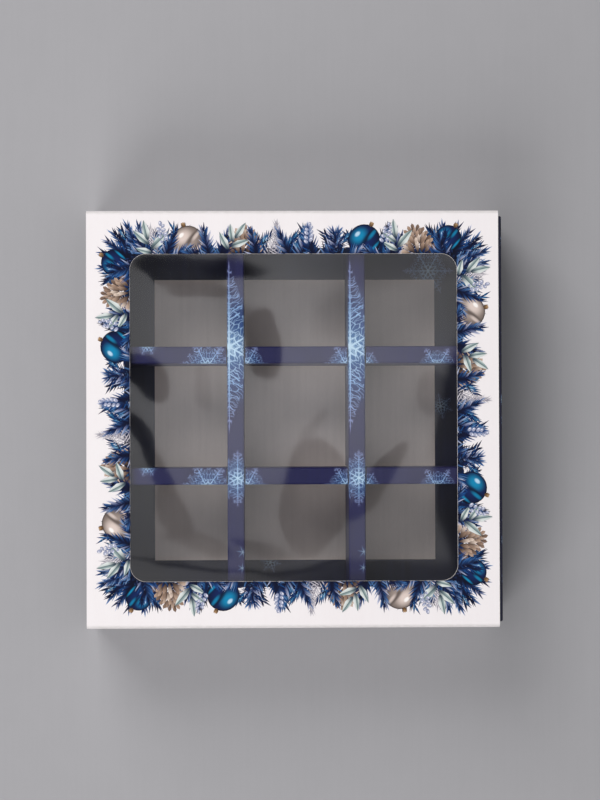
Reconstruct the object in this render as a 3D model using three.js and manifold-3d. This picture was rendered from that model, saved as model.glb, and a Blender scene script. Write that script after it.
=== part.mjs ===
// Sliding candy box of folding boxboard: a sleeve with a film window, and in it a tray
// that four slotted dividers part into nine cells. Each board panel between two creases is one mesh.
import * as THREE from "three";
import { mergeVertices } from "three/addons/utils/BufferGeometryUtils.js";
import Module from "manifold-3d";

// Driving dimensions in millimetres. +X is the way the tray slides out, +Y the back, +Z up.
const BOARD = 0.5; // thickness of the boxboard
const CREASE_GAP = 0.1; // parting between two panels that meet at a crease or lie on each other
const SLIDE_GAP = 0.3; // play under the tray
const FOLD_STEPS = 5; // facets round a quarter fold

const SLEEVE_LENGTH = 145;
const SLEEVE_WIDTH = 146.8;
const SLEEVE_HEIGHT = 35;
const SLEEVE_FOLD = 1.5; // outer radius of the sleeve's long folds
const SEAM_FLAP_HEIGHT = 14; // glued lap inside the back wall
const SEAM_FOLD = 0.8; // outer radius of the fold into that lap

const WINDOW_SIZE = 115;
const WINDOW_CORNER = 5.6;
const WINDOW_SHIFT = [0.3, 0.6]; // the die cuts the window a little off the middle
const FILM_THICKNESS = 0.2;
const FILM_LAP = 6; // how far the film reaches past the window's edge

const TRAY_LENGTH = 145;
const TRAY_WIDTH = 143;
const TRAY_HEIGHT = 32.6;
const TRAY_PULL = 1.25; // how far the tray stands out of the sleeve at rest
const FLOOR_FLAP = 9.85; // foot of each hollow wall, folded in over the floor

const CELL_SIZE = 36.7;
const CELLS_PER_SIDE = 3;
const DIVIDER_WIDTH = 6;
const DIVIDER_DROP = 1; // tops of the dividers below the rim
const DIVIDER_FOLD = 0.7;
const DIVIDER_PLAY = 0.3; // at the ends of a divider and beside each slot
const CROSS_SHIFT = 1.3; // the cross dividers sit this far behind the middle

// Sizes that follow from those above.
const DIVIDER_PITCH = CELL_SIZE + DIVIDER_WIDTH;
const WELL_HALF = (CELLS_PER_SIDE * DIVIDER_PITCH - DIVIDER_WIDTH) / 2;
const FLAP_EDGE = WELL_HALF - FLOOR_FLAP;
const TRAY_HALF_X = TRAY_LENGTH / 2;
const TRAY_HALF_Y = TRAY_WIDTH / 2;
const SLEEVE_HALF_Y = SLEEVE_WIDTH / 2;
const FLAP_TOP = 2 * BOARD + CREASE_GAP;
const DIVIDER_BOTTOM = FLAP_TOP + CREASE_GAP;
const DIVIDER_HEIGHT = TRAY_HEIGHT - DIVIDER_DROP - DIVIDER_BOTTOM;
const DIVIDER_LENGTH = 2 * (WELL_HALF - DIVIDER_PLAY);

const boardLook = (color) => new THREE.MeshStandardMaterial({ color, roughness: 0.6, metalness: 0 });
const WHITE_BOARD = boardLook(0xf6efef);
const BARE_BOARD = boardLook(0xe5d8cf);
const TRAY_PRINT = boardLook(0x25222b);
const DIVIDER_PRINT = boardLook(0x363c5c);
const FILM = new THREE.MeshStandardMaterial({
  color: 0xe6ecef,
  roughness: 0.08,
  metalness: 0,
  transparent: true,
  opacity: 0.2,
});

const wasm = await Module();
wasm.setup();

const sleeve = new THREE.Group();
sleeve.position.x = -TRAY_PULL / 2;
const tray = new THREE.Group();
tray.position.set(TRAY_PULL / 2, 0, BOARD + SLIDE_GAP);

function addMesh(group, name, geometry, material) {
  const mesh = new THREE.Mesh(geometry, material);
  mesh.name = name;
  group.add(mesh);
  return mesh;
}

// A flat panel between two opposite corners.
function addPanel(group, name, low, high, material) {
  const lowest = new THREE.Vector3(...low);
  const highest = new THREE.Vector3(...high);
  const size = highest.clone().sub(lowest);
  const mesh = addMesh(group, name, new THREE.BoxGeometry(size.x, size.y, size.z), material);
  mesh.position.copy(lowest.add(highest).multiplyScalar(1 / 2));
}

// An outline in the XY plane, given thickness upwards from z.
function plate(shape, z, thickness) {
  const geometry = new THREE.ExtrudeGeometry(shape, { depth: thickness, bevelEnabled: false });
  return geometry.translate(0, 0, z);
}

// A section in Y and Z, drawn out along X about the middle.
function drawnAlongX(shape, length) {
  const options = { depth: length, bevelEnabled: false, curveSegments: FOLD_STEPS };
  const geometry = new THREE.ExtrudeGeometry(shape, options);
  const turn = new THREE.Matrix4().makeBasis(
    new THREE.Vector3(0, 1, 0),
    new THREE.Vector3(0, 0, 1),
    new THREE.Vector3(1, 0, 0),
  );
  return geometry.applyMatrix4(turn).translate(-length / 2, 0, 0);
}

function solidOf(geometry) {
  const bare = geometry.clone();
  bare.deleteAttribute("normal");
  bare.deleteAttribute("uv");
  const merged = mergeVertices(bare);
  const vertProperties = merged.attributes.position.array;
  const triVerts = new Uint32Array(merged.index.array);
  return new wasm.Manifold(new wasm.Mesh({ numProp: 3, vertProperties, triVerts }));
}

function geometryOf(solid) {
  const { vertProperties, triVerts } = solid.getMesh();
  const geometry = new THREE.BufferGeometry();
  geometry.setAttribute("position", new THREE.BufferAttribute(vertProperties, 3));
  geometry.setIndex(new THREE.BufferAttribute(triVerts, 1));
  geometry.computeVertexNormals();
  return geometry;
}

// The window's outline, a square with round corners.
function windowOutline() {
  const [x, y] = WINDOW_SHIFT;
  const half = WINDOW_SIZE / 2;
  const straight = half - WINDOW_CORNER;
  const path = new THREE.Path();
  path.moveTo(x - straight, y - half);
  path.absarc(x + straight, y - straight, WINDOW_CORNER, -Math.PI / 2, 0);
  path.absarc(x + straight, y + straight, WINDOW_CORNER, 0, Math.PI / 2);
  path.absarc(x - straight, y + straight, WINDOW_CORNER, Math.PI / 2, Math.PI);
  path.absarc(x - straight, y - straight, WINDOW_CORNER, Math.PI, (3 * Math.PI) / 2);
  return path;
}

// Top panel of the sleeve, with the window cut through it.
function addSleeveTop() {
  const flat = SLEEVE_HALF_Y - SLEEVE_FOLD - CREASE_GAP;
  const shape = new THREE.Shape();
  shape.moveTo(-SLEEVE_LENGTH / 2, -flat);
  shape.lineTo(SLEEVE_LENGTH / 2, -flat);
  shape.lineTo(SLEEVE_LENGTH / 2, flat);
  shape.lineTo(-SLEEVE_LENGTH / 2, flat);
  shape.holes.push(windowOutline());
  addMesh(sleeve, "sleeve_top", plate(shape, SLEEVE_HEIGHT - BOARD, BOARD), WHITE_BOARD);
}

// Front wall of the sleeve with the folds at its top and bottom.
function addSleeveFront() {
  const outer = -SLEEVE_HALF_Y;
  const flat = outer + SLEEVE_FOLD;
  const inner = SLEEVE_FOLD - BOARD;
  const low = SLEEVE_FOLD;
  const high = SLEEVE_HEIGHT - SLEEVE_FOLD;
  const shape = new THREE.Shape();
  shape.moveTo(flat, SLEEVE_HEIGHT);
  shape.absarc(flat, high, SLEEVE_FOLD, Math.PI / 2, Math.PI);
  shape.lineTo(outer, low);
  shape.absarc(flat, low, SLEEVE_FOLD, Math.PI, (3 * Math.PI) / 2);
  shape.lineTo(flat, BOARD);
  shape.absarc(flat, low, inner, (3 * Math.PI) / 2, Math.PI, true);
  shape.lineTo(outer + BOARD, high);
  shape.absarc(flat, high, inner, Math.PI, Math.PI / 2, true);
  addMesh(sleeve, "sleeve_front", drawnAlongX(shape, SLEEVE_LENGTH), WHITE_BOARD);
}

// Back wall of the sleeve: a fold at its top, a cut edge at its foot where the seam is glued.
function addSleeveBack() {
  const outer = SLEEVE_HALF_Y;
  const flat = outer - SLEEVE_FOLD;
  const high = SLEEVE_HEIGHT - SLEEVE_FOLD;
  const shape = new THREE.Shape();
  shape.moveTo(outer - BOARD, 0);
  shape.lineTo(outer, 0);
  shape.lineTo(outer, high);
  shape.absarc(flat, high, SLEEVE_FOLD, 0, Math.PI / 2);
  shape.lineTo(flat, SLEEVE_HEIGHT - BOARD);
  shape.absarc(flat, high, SLEEVE_FOLD - BOARD, Math.PI / 2, 0, true);
  addMesh(sleeve, "sleeve_back", drawnAlongX(shape, SLEEVE_LENGTH), WHITE_BOARD);
}

// Base panel of the sleeve, and the lap that turns up from it inside the back wall.
function addSleeveBase() {
  const halfLength = SLEEVE_LENGTH / 2;
  const front = -SLEEVE_HALF_Y + SLEEVE_FOLD + CREASE_GAP;
  const lapFace = SLEEVE_HALF_Y - BOARD - CREASE_GAP;
  const lapFlat = lapFace - SEAM_FOLD;
  const baseLow = [-halfLength, front, 0];
  const baseHigh = [halfLength, lapFlat - CREASE_GAP, BOARD];
  addPanel(sleeve, "sleeve_base", baseLow, baseHigh, WHITE_BOARD);

  const shape = new THREE.Shape();
  shape.moveTo(lapFlat, 0);
  shape.absarc(lapFlat, SEAM_FOLD, SEAM_FOLD, -Math.PI / 2, 0);
  shape.lineTo(lapFace, SEAM_FLAP_HEIGHT);
  shape.lineTo(lapFace - BOARD, SEAM_FLAP_HEIGHT);
  shape.lineTo(lapFace - BOARD, SEAM_FOLD);
  shape.absarc(lapFlat, SEAM_FOLD, SEAM_FOLD - BOARD, 0, -Math.PI / 2, true);
  addMesh(sleeve, "sleeve_seam_flap", drawnAlongX(shape, SLEEVE_LENGTH), WHITE_BOARD);
}

// Clear film glued to the inside of the top panel.
function addFilm() {
  const [x, y] = WINDOW_SHIFT;
  const half = WINDOW_SIZE / 2 + FILM_LAP;
  const top = SLEEVE_HEIGHT - BOARD - CREASE_GAP;
  const bottom = top - FILM_THICKNESS;
  addPanel(sleeve, "window_film", [x - half, y - half, bottom], [x + half, y + half, top], FILM);
}

function addTrayFloor() {
  const halfX = TRAY_HALF_X - BOARD - CREASE_GAP;
  const halfY = TRAY_HALF_Y - BOARD - CREASE_GAP;
  addPanel(tray, "tray_floor", [-halfX, -halfY, 0], [halfX, halfY, BOARD], BARE_BOARD);
}

// Low and high bounds of a band between two distances from the middle, on one side of it.
const band = (sign, near, far) => (sign > 0 ? [near, far] : [-far, -near]);

// A panel across the X axis: the band lies in X, and it reaches half a span either way in Y.
function addPanelAcrossX(name, [xLow, xHigh], halfSpan, [zLow, zHigh], material) {
  addPanel(tray, name, [xLow, -halfSpan, zLow], [xHigh, halfSpan, zHigh], material);
}

function addPanelAcrossY(name, [yLow, yHigh], halfSpan, [zLow, zHigh], material) {
  addPanel(tray, name, [-halfSpan, yLow, zLow], [halfSpan, yHigh, zHigh], material);
}

// One mitred strip of the flat rim, from the outer wall to the well, drawn on the +X side.
function addRim(name, [outer, outerSpan], [inner, innerSpan]) {
  const shape = new THREE.Shape([
    new THREE.Vector2(inner, -innerSpan),
    new THREE.Vector2(outer, -outerSpan),
    new THREE.Vector2(outer, outerSpan),
    new THREE.Vector2(inner, innerSpan),
  ]);
  return addMesh(tray, name, plate(shape, TRAY_HEIGHT - BOARD, BOARD), TRAY_PRINT);
}

// A hollow wall of the tray: outer wall, rim, lining and the foot that lies on the floor.
function addHollowWalls() {
  const underRim = TRAY_HEIGHT - BOARD - CREASE_GAP;
  const overFloor = BOARD + CREASE_GAP;
  const flap = [overFloor, FLAP_TOP];
  const lining = [overFloor, underRim];
  const flapFar = WELL_HALF - CREASE_GAP;
  for (const [side, sign] of [["left", -1], ["right", 1]]) {
    const outer = band(sign, TRAY_HALF_X - BOARD, TRAY_HALF_X);
    const inner = band(sign, WELL_HALF, WELL_HALF + BOARD);
    addPanelAcrossX(`tray_wall_${side}`, outer, TRAY_HALF_Y, [0, underRim], TRAY_PRINT);
    addPanelAcrossX(`tray_lining_${side}`, inner, WELL_HALF + BOARD, lining, TRAY_PRINT);
    const foot = band(sign, FLAP_EDGE, flapFar);
    addPanelAcrossX(`tray_flap_${side}`, foot, FLAP_EDGE - CREASE_GAP, flap, TRAY_PRINT);
    const rim = addRim(
      `tray_rim_${side}`,
      [TRAY_HALF_X, TRAY_HALF_Y - CREASE_GAP],
      [WELL_HALF, WELL_HALF - CREASE_GAP],
    );
    rim.rotation.z = sign > 0 ? 0 : Math.PI;
  }
  for (const [side, sign] of [["front", -1], ["back", 1]]) {
    const outer = band(sign, TRAY_HALF_Y - BOARD, TRAY_HALF_Y);
    const inner = band(sign, WELL_HALF, WELL_HALF + BOARD);
    const between = TRAY_HALF_X - BOARD - CREASE_GAP;
    addPanelAcrossY(`tray_wall_${side}`, outer, between, [0, underRim], TRAY_PRINT);
    addPanelAcrossY(`tray_lining_${side}`, inner, WELL_HALF - CREASE_GAP, lining, TRAY_PRINT);
    addPanelAcrossY(`tray_flap_${side}`, band(sign, FLAP_EDGE, flapFar), flapFar, flap, TRAY_PRINT);
    const rim = addRim(`tray_rim_${side}`, [TRAY_HALF_Y, TRAY_HALF_X], [WELL_HALF, WELL_HALF]);
    rim.rotation.z = (sign * Math.PI) / 2;
  }
}

// A strip creased into an inverted channel and slotted half way for the two that cross it.
function dividerGeometry(slotsFromBelow, slotShift) {
  const half = DIVIDER_WIDTH / 2;
  const bend = half - DIVIDER_FOLD;
  const top = DIVIDER_BOTTOM + DIVIDER_HEIGHT;
  const shoulder = top - DIVIDER_FOLD;
  const shape = new THREE.Shape();
  shape.moveTo(half - BOARD, DIVIDER_BOTTOM);
  shape.lineTo(half, DIVIDER_BOTTOM);
  shape.lineTo(half, shoulder);
  shape.absarc(bend, shoulder, DIVIDER_FOLD, 0, Math.PI / 2);
  shape.lineTo(-bend, top);
  shape.absarc(-bend, shoulder, DIVIDER_FOLD, Math.PI / 2, Math.PI);
  shape.lineTo(-half, DIVIDER_BOTTOM);
  shape.lineTo(BOARD - half, DIVIDER_BOTTOM);
  shape.lineTo(BOARD - half, shoulder);
  shape.absarc(-bend, shoulder, DIVIDER_FOLD - BOARD, Math.PI, Math.PI / 2, true);
  shape.lineTo(bend, top - BOARD);
  shape.absarc(bend, shoulder, DIVIDER_FOLD - BOARD, Math.PI / 2, 0, true);

  let solid = solidOf(drawnAlongX(shape, DIVIDER_LENGTH));
  const slotWidth = DIVIDER_WIDTH + 2 * DIVIDER_PLAY;
  const middle = DIVIDER_BOTTOM + DIVIDER_HEIGHT / 2;
  const reach = DIVIDER_HEIGHT + DIVIDER_PLAY; // the slot's cutter runs out past the strip's edge
  const centre = middle + ((slotsFromBelow ? -1 : 1) * (reach - DIVIDER_PLAY)) / 2;
  for (const sign of [-1, 1]) {
    const slot = new THREE.BoxGeometry(slotWidth, 2 * DIVIDER_WIDTH, reach);
    slot.translate(slotShift + (sign * DIVIDER_PITCH) / 2, 0, centre);
    solid = solid.subtract(solidOf(slot));
  }
  return geometryOf(solid);
}

// Two long dividers run front to back over the two cross dividers.
function addDividers() {
  const offset = DIVIDER_PITCH / 2;
  for (const [side, sign] of [["left", -1], ["right", 1]]) {
    const strip = dividerGeometry(true, CROSS_SHIFT);
    const long = addMesh(tray, `long_divider_${side}`, strip, DIVIDER_PRINT);
    long.rotation.z = Math.PI / 2;
    long.position.x = sign * offset;
  }
  for (const [side, sign] of [["front", -1], ["back", 1]]) {
    const cross = addMesh(tray, `cross_divider_${side}`, dividerGeometry(false, 0), DIVIDER_PRINT);
    cross.position.y = sign * offset + CROSS_SHIFT;
  }
}

addSleeveTop();
addSleeveFront();
addSleeveBack();
addSleeveBase();
addFilm();
addTrayFloor();
addHollowWalls();
addDividers();

const candyBox = new THREE.Group();
candyBox.add(sleeve, tray);

export default candyBox;
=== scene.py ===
# %% [markdown]
# # A sliding candy box with a window
# The box is folded from printed boxboard. A white sleeve has a film window in its top, and a dark tray
# slides through it. Four slotted strips part the tray into nine cells. The CAD frame holds every size
# and place, so each piece here is made where its CAD nodes are, in metres.

# %% Load the frame
import math
import random
from functools import partial

import bmesh
import bpy
import numpy as np
from mathutils import Matrix, Vector


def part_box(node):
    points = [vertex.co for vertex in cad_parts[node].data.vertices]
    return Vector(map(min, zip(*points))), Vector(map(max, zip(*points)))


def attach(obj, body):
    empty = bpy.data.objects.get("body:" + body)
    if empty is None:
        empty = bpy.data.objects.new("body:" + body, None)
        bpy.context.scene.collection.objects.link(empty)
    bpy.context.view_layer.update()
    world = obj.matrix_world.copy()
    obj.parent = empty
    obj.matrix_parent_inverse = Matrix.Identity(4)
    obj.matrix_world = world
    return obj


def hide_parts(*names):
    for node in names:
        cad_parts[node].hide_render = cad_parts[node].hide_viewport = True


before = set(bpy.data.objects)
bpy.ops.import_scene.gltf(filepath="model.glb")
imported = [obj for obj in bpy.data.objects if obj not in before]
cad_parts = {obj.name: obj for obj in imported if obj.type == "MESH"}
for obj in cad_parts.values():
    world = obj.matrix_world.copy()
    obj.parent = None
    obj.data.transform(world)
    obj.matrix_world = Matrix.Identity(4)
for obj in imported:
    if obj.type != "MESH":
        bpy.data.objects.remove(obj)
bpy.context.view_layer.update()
MM = 0.001


# %% [markdown]
# ## Camera
# The picture looks almost straight down, a little from the left and the front. A long lens keeps the box
# nearly square. Place, tilt and lens were fitted to the corners of the sleeve and of the window.

# %% Set up the camera
CAMERA_PLACE = Vector((-13.557, -6.176, 834.428)) * MM
CAMERA_TILT = (0.0161264, -0.0192129, -0.0033408)
LENS = 102.42
NEAREST = 10 * MM
scene = bpy.context.scene
bpy.ops.object.camera_add(location=CAMERA_PLACE, rotation=CAMERA_TILT)
camera = bpy.context.object
camera.data.lens = LENS
camera.data.clip_start = NEAREST
scene.camera = camera
scene.view_settings.view_transform = "Standard"

# %% [markdown]
# ## Small helpers for nodes
# Materials are wired from nodes, and short functions keep that readable. One sets or links a socket, one
# adds a node with its settings, and the others add the nodes that are used most: sums, noise, soft steps,
# mixes and ramps. Colours are written as the 8-bit values that a colour picker shows, and turned into
# Blender's linear values.

# %% Node helpers
def feed(tree, socket, value):
    if isinstance(value, bpy.types.NodeSocket):
        tree.links.new(value, socket)
    else:
        socket.default_value = value


def add_node(tree, kind, feeds=None, **settings):
    made = tree.nodes.new("ShaderNode" + kind)
    for name, value in settings.items():
        setattr(made, name, value)
    for socket, value in (feeds or {}).items():
        feed(tree, made.inputs[socket], value)
    return made


def calc(tree, operation, *terms):
    return add_node(tree, "Math", dict(enumerate(terms)), operation=operation).outputs[0]


def vector_calc(tree, operation, *terms):
    made = add_node(tree, "VectorMath", dict(enumerate(terms)), operation=operation)
    return made.outputs["Value" if operation == "LENGTH" else "Vector"]


def split(tree, vector):
    return add_node(tree, "SeparateXYZ", {0: vector}).outputs


def noise(tree, place, scale, detail, stretch=None):
    """Noise over a place, drawn out where the stretch is below 1."""
    if stretch:
        place = vector_calc(tree, "MULTIPLY", place, stretch)
    return add_node(tree, "TexNoise", {"Vector": place, "Scale": scale, "Detail": detail}).outputs


def fade(tree, value, full, none):
    """1 where the value is at full, 0 where it is at none, with a soft step between."""
    limits = {"Value": value, "From Min": full, "From Max": none, "To Min": 1.0, "To Max": 0.0}
    return add_node(tree, "MapRange", limits, interpolation_type="SMOOTHSTEP").outputs["Result"]


node_helpers = (feed, add_node, calc, vector_calc, split, noise, fade)
print("node helpers:", [helper.__name__ for helper in node_helpers])

# %% Colour helpers
def tint(red, green, blue):
    """A linear colour from its 8-bit picker values, by the sRGB curve."""
    def linear(value):
        share = value / 255
        return share / 12.92 if share <= 0.04045 else ((share + 0.055) / 1.055) ** 2.4
    return (linear(red), linear(green), linear(blue), 1.0)


def mix(tree, share, first, second):
    """A mix of two colours, which are sockets 6 and 7 of a Mix node and come out at 2."""
    return add_node(tree, "Mix", {0: share, 6: first, 7: second}, data_type="RGBA").outputs[2]


def ramp(tree, share, stops):
    """A colour ramp. A stop is its place and its 8-bit colour."""
    made = add_node(tree, "ValToRGB", {"Fac": share})
    points = made.color_ramp.elements
    while len(points) < len(stops):
        points.new(0.5)
    for point, (place, colour) in zip(points, stops):
        point.position = place
        point.color = tint(*colour)
    return made.outputs["Color"]


print("mid grey 152 is", round(tint(152, 152, 152)[0], 3), "linear")

# %% [markdown]
# ## Studio
# The photo table is plain grey paper. Two soft lamps stand low at the left, one to the front and one to the
# back, so the shadow is darkest at the right where neither reaches. A pale ceiling fills in from above, with
# a brighter panel in its middle. Dim things up there are what the loose window film mirrors as soft dark
# shapes. A world shader can hold all of that, because each direction overhead has its own level of light.
# The first cell finds which spot of the film mirrors a direction to the camera, so that the dim things can
# be placed by where they are seen, in mm.

# %% Find where the film mirrors the ceiling
LOWEST = 0.05
STIR = 7.0
STIR_SCALE = 0.056
HALF_GREY = (0.5, 0.5, 0.5)
world = bpy.data.worlds.new("studio_ceiling")
scene.world = world
world.use_nodes = True
tree = world.node_tree
tree.nodes.clear()
sky = add_node(tree, "TexCoord").outputs["Generated"]
height = calc(tree, "MAXIMUM", split(tree, sky)["Z"], LOWEST)
overhead = vector_calc(tree, "DIVIDE", sky, height)
under_camera = (CAMERA_PLACE.x / MM, CAMERA_PLACE.y / MM, 0)
rise = (CAMERA_PLACE.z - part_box("window_film")[1].z) / MM
mirrored = vector_calc(tree, "MULTIPLY_ADD", overhead, (rise, rise, 0), under_camera)
stir = vector_calc(tree, "SUBTRACT", noise(tree, mirrored, STIR_SCALE, detail=1.0)["Color"], HALF_GREY)
stirred = vector_calc(tree, "MULTIPLY_ADD", stir, (STIR, STIR, 0), mirrored)


def off_oval(tree, place, x, y, half_width, half_height, turn=0):
    """How far a place is from the middle of an oval: 1 is the oval's edge."""
    oval = {"Vector": place, "Location": (x, y, 0), "Rotation": (0, 0, math.radians(turn)),
            "Scale": (half_width, half_height, 1)}
    return vector_calc(tree, "LENGTH", add_node(tree, "Mapping", oval, vector_type="TEXTURE").outputs[0])


def soft_oval(tree, place, oval, blur):
    return fade(tree, off_oval(tree, place, *oval), 1 - blur, 1 + blur)


print("the camera is", round(rise, 1), "mm over the film")

# %% Build the ceiling
CEILING, CEILING_FALL = 0.8, 3.0
CEILING_WHITE = (0.985, 0.98, 1.0, 1.0)
PANEL = 0.30
PANEL_OVAL = (-4, 14, 66, 62)
PANEL_FADE = (0.2, 1.2)
# Place and half size in mm, turn in degrees, blur and dimming.
DIM_THINGS = (
    (-36.5, 53.2, 20.5, 5.6, -1, 0.10, 0.90), (-33.0, 46.0, 12.0, 3.4, -6, 0.20, 0.84),
    (-21.0, 53.6, 11.0, 3.8, -3, 0.35, 0.86), (30.0, 53.5, 24.0, 6.0, 0, 0.50, 0.30),
    (-52.4, 16.0, 11.0, 5.2, -47, 0.08, 0.96), (-54.5, -3.5, 7.5, 3.8, -52, 0.10, 0.94),
    (-48.4, -17.0, 12.0, 3.2, -66, 0.14, 0.92), (-42.5, -33.0, 12.0, 4.8, -62, 0.14, 0.85),
    (-34.0, -44.5, 12.0, 3.2, -18, 0.25, 0.70), (-11.5, -46.0, 11.0, 2.0, -12, 0.20, 0.60),
    (-11.4, 26.0, 6.8, 12.6, 6, 0.08, 0.95), (14.5, 37.0, 7.0, 9.0, -20, 0.50, 0.34),
    (-32.0, 10.9, 3.0, 8.5, 5, 0.30, 0.36), (6.2, -27.4, 12.8, 20.8, -7, 0.06, 0.96),
    (6.5, -2.4, 7.0, 2.2, 58, 0.25, 0.40), (28.8, -22.6, 17.0, 4.0, 53, 0.10, 0.80),
    (48.6, 9.6, 6.6, 7.0, 0, 0.12, 0.50), (60.5, -14.0, 11.0, 42.0, 0, 0.16, 0.88),
    (36.0, -56.0, 42.0, 6.0, 0, 0.40, 0.66), (-40.0, -51.0, 19.0, 0.8, -8, 0.50, 0.75),
    (-8.0, -53.4, 16.0, 0.9, 1, 0.50, 0.70), (12.0, -51.0, 9.5, 0.8, 11, 0.50, 0.65),
    (8.0, -42.0, 70.0, 26.0, 0, 0.50, 0.30), (-18.6, 35.3, 4.0, 6.4, 0, 0.50, 0.78),
)
panel = fade(tree, off_oval(tree, stirred, *PANEL_OVAL), *PANEL_FADE)
level = calc(tree, "MULTIPLY", calc(tree, "POWER", height, CEILING_FALL), CEILING)
level = calc(tree, "MULTIPLY_ADD", panel, PANEL, level)
for *oval, blur, dimming in DIM_THINGS:
    covered = soft_oval(tree, stirred, oval, blur)
    level = calc(tree, "MULTIPLY", level, calc(tree, "MULTIPLY_ADD", covered, -dimming, 1.0))
ceiling = add_node(tree, "Background", {"Color": CEILING_WHITE, "Strength": level})
print("ceiling of radiance", CEILING, "with", len(DIM_THINGS), "dim things")

# %% [markdown]
# Lower down stands a plain grey backdrop, which the camera sees and the film mirrors from the side. The
# lamps light the board, but aren't mirrored: their white squares in the film would hide the tray.

# %% Add the backdrop and the lamps
BACKDROP_GREY = tint(168, 167, 170)
BACKDROP_TOP, BACKDROP_END = 0.35, 0.85
LAMP_WATTS = 14.2
LAMP_WHITE = (1.0, 0.98, 0.975)
LAMP_SIZE = 0.9
LAMP_PLACES = ((-0.55, -1.1, 0.86), (-0.58, 1.0, 0.86))
backdrop = add_node(tree, "Background", {"Color": BACKDROP_GREY, "Strength": 1.0})
ray = add_node(tree, "LightPath").outputs
in_mirror = calc(tree, "MULTIPLY", ray["Is Glossy Ray"], fade(tree, height, BACKDROP_TOP, BACKDROP_END))
seen = calc(tree, "MAXIMUM", ray["Is Camera Ray"], in_mirror)
shown = add_node(tree, "MixShader", {0: seen, 1: ceiling.outputs[0], 2: backdrop.outputs[0]})
add_node(tree, "OutputWorld", {"Surface": shown.outputs[0]})
for place in LAMP_PLACES:
    aim = Vector(place).to_track_quat("Z", "Y").to_euler()
    bpy.ops.object.light_add(type="AREA", location=place, rotation=aim)
    lamp = bpy.context.object
    lamp.data.energy = LAMP_WATTS
    lamp.data.size = LAMP_SIZE
    lamp.data.color = LAMP_WHITE
    lamp.visible_glossy = False
print(len(LAMP_PLACES), "lamps of", LAMP_WATTS, "W")

# %% [markdown]
# ## Paper and board
# All board is pressed paper pulp, so every board material shares one effect: a broad mottle and the long
# streaks of the board's grain in the tone, and fine fibres in the height. It is a node group, built once,
# and each material sets its own tones and depth. The table is paper too. Far from the box it fades into
# the backdrop, so that a low view shows no hard edge behind the box.

# %% Paper fibre group
def new_group(name, inputs, outputs):
    group = bpy.data.node_groups.new(name, "ShaderNodeTree")
    for way, sockets in (("INPUT", inputs), ("OUTPUT", outputs)):
        for label, kind in sockets.items():
            group.interface.new_socket(label, in_out=way, socket_type="NodeSocket" + kind)
    return group, group.nodes.new("NodeGroupInput").outputs, group.nodes.new("NodeGroupOutput").inputs


def use_group(tree, group, feeds):
    return add_node(tree, "Group", feeds, node_tree=group).outputs


CLOUD_SCALE, STREAK_SCALE, FIBRE_SCALE = 90.0, 620.0, 2400.0
STREAK_STRETCH, FIBRE_STRETCH = (1.0, 0.04, 1.0), (1.0, 0.25, 1.0)
STREAKED = 0.45
paper_fibre, given, result = new_group(
    "paper_fibre", {"Vector": "Vector"}, {"Mottle": "Float", "Height": "Float"})
clouds = noise(paper_fibre, given["Vector"], CLOUD_SCALE, detail=3.0)["Fac"]
streaks = noise(paper_fibre, given["Vector"], STREAK_SCALE, detail=1.0, stretch=STREAK_STRETCH)["Fac"]
fibres = noise(paper_fibre, given["Vector"], FIBRE_SCALE, detail=2.0, stretch=FIBRE_STRETCH)["Fac"]
clouded = calc(paper_fibre, "MULTIPLY", clouds, 1 - STREAKED)
feed(paper_fibre, result["Mottle"], calc(paper_fibre, "MULTIPLY_ADD", streaks, STREAKED, clouded))
feed(paper_fibre, result["Height"], fibres)
print("paper fibre group has", len(paper_fibre.nodes), "nodes")

# %% Board materials
FINE_SHARE = 0.3
MOTTLE_DARK, MOTTLE_LIGHT = 0.3, 0.7
RELIEF = 0.4


def new_material(name, roughness):
    material = bpy.data.materials.new(name)
    material.use_nodes = True
    surface = material.node_tree.nodes["Principled BSDF"].inputs
    surface["Roughness"].default_value = roughness
    return material, material.node_tree, surface


def object_place(tree):
    return add_node(tree, "TexCoord").outputs["Object"]


def board_relief(tree, surface, fibre, depth):
    bump = add_node(tree, "Bump", {"Height": fibre["Height"], "Distance": depth * MM, "Strength": RELIEF})
    feed(tree, surface["Normal"], bump.outputs["Normal"])


def board(name, dark, light, roughness, depth):
    """Paper between two tones, with fibres of a depth in mm."""
    material, tree, surface = new_material(name, roughness)
    fibre = use_group(tree, paper_fibre, {"Vector": object_place(tree)})
    fine = calc(tree, "MULTIPLY", fibre["Height"], FINE_SHARE)
    spread = calc(tree, "MULTIPLY_ADD", fibre["Mottle"], 1 - FINE_SHARE, fine)
    feed(tree, surface["Base Color"], ramp(tree, spread, ((MOTTLE_DARK, dark), (MOTTLE_LIGHT, light))))
    board_relief(tree, surface, fibre, depth)
    return material


coated_white = board("coated_white", (242, 237, 238), (245, 241, 242), roughness=0.42, depth=0.004)
bare_back = board("bare_board_back", (222, 209, 200), (236, 223, 214), roughness=0.9, depth=0.02)
cut_cream = board("cream_cut_edge", (214, 204, 186), (240, 232, 216), roughness=0.85, depth=0.02)
photo_paper = board("photo_table_paper", (163, 163, 166), (166, 166, 169), roughness=0.8, depth=0.02)
print("board materials:", [paper.name for paper in (coated_white, bare_back, cut_cream, photo_paper)])

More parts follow.
